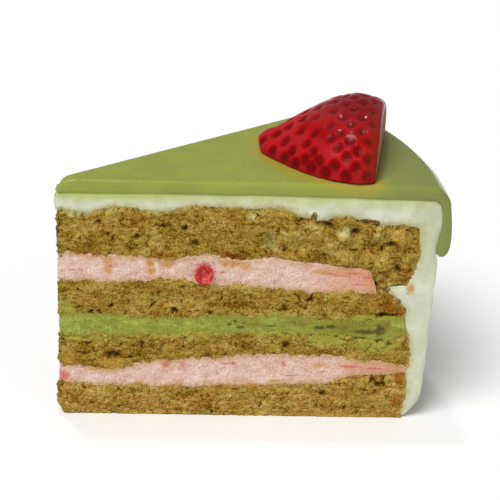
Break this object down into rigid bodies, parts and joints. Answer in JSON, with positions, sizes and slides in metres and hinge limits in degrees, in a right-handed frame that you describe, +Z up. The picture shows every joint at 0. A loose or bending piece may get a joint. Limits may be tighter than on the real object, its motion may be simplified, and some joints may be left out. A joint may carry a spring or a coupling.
{
  "type": "slice of matcha cake",
  "caption": "Wedge of layered matcha cake with sponge, pink and green cream fillings, a pale cream coat, a glossy green glaze with drips and a strawberry half on top.",
  "frame": {"origin": "middle of the slice's footprint box, on the surface it stands on", "axes": "+X from the tip of the wedge to the rim, along the front cut; the front cut faces -Y; +Z up"},
  "size_m": [0.1022, 0.064, 0.0837],
  "materials": {
    "sponge": "open, moist olive-brown crumb with dark pores",
    "strawberry_cream": "soft pale pink cream, finely pored",
    "matcha_cream": "grainy bright green cream",
    "coat_cream": "smooth pale green-white cream, spread with a palette knife",
    "glaze": "glossy olive-green glaze",
    "strawberry": "wet, glossy red skin with dimples",
    "fruit": "moist red fruit flesh"
  },
  "bodies": {
    "root": {"sponge_bottom": "sponge", "strawberry_cream_lower": "strawberry_cream", "sponge_third": "sponge", "matcha_cream": "matcha_cream", "sponge_second": "sponge", "strawberry_cream_upper": "strawberry_cream", "sponge_top": "sponge", "cream_coat": "coat_cream", "glaze": "glaze", "strawberry": "strawberry", "fruit_piece": "fruit"}
  },
  "joints": []
}
